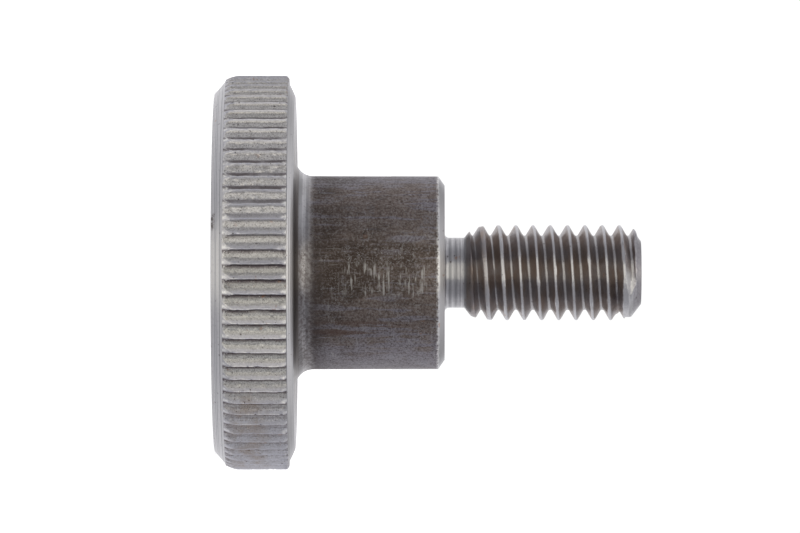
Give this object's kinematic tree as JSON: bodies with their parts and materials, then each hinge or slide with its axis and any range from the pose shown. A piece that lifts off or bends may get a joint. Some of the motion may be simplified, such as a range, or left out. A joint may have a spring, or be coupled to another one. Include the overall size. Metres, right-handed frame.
{
  "type": "thumb screw",
  "caption": "High-type knurled thumb screw with a wide straight-knurled head, a round collar that seats on the work, an undercut neck and a short metric threaded shank.",
  "frame": {"origin": "centre of the head's flat face, which the screw stands on", "axes": "+Z along the screw's axis, from the head's flat face towards the thread's tip"},
  "size_m": [0.016, 0.016, 0.0173],
  "materials": {
    "steel": "turned and straight-knurled bare steel, worn and slightly stained"
  },
  "bodies": {
    "root": {"thumb_screw": "steel"}
  },
  "joints": []
}
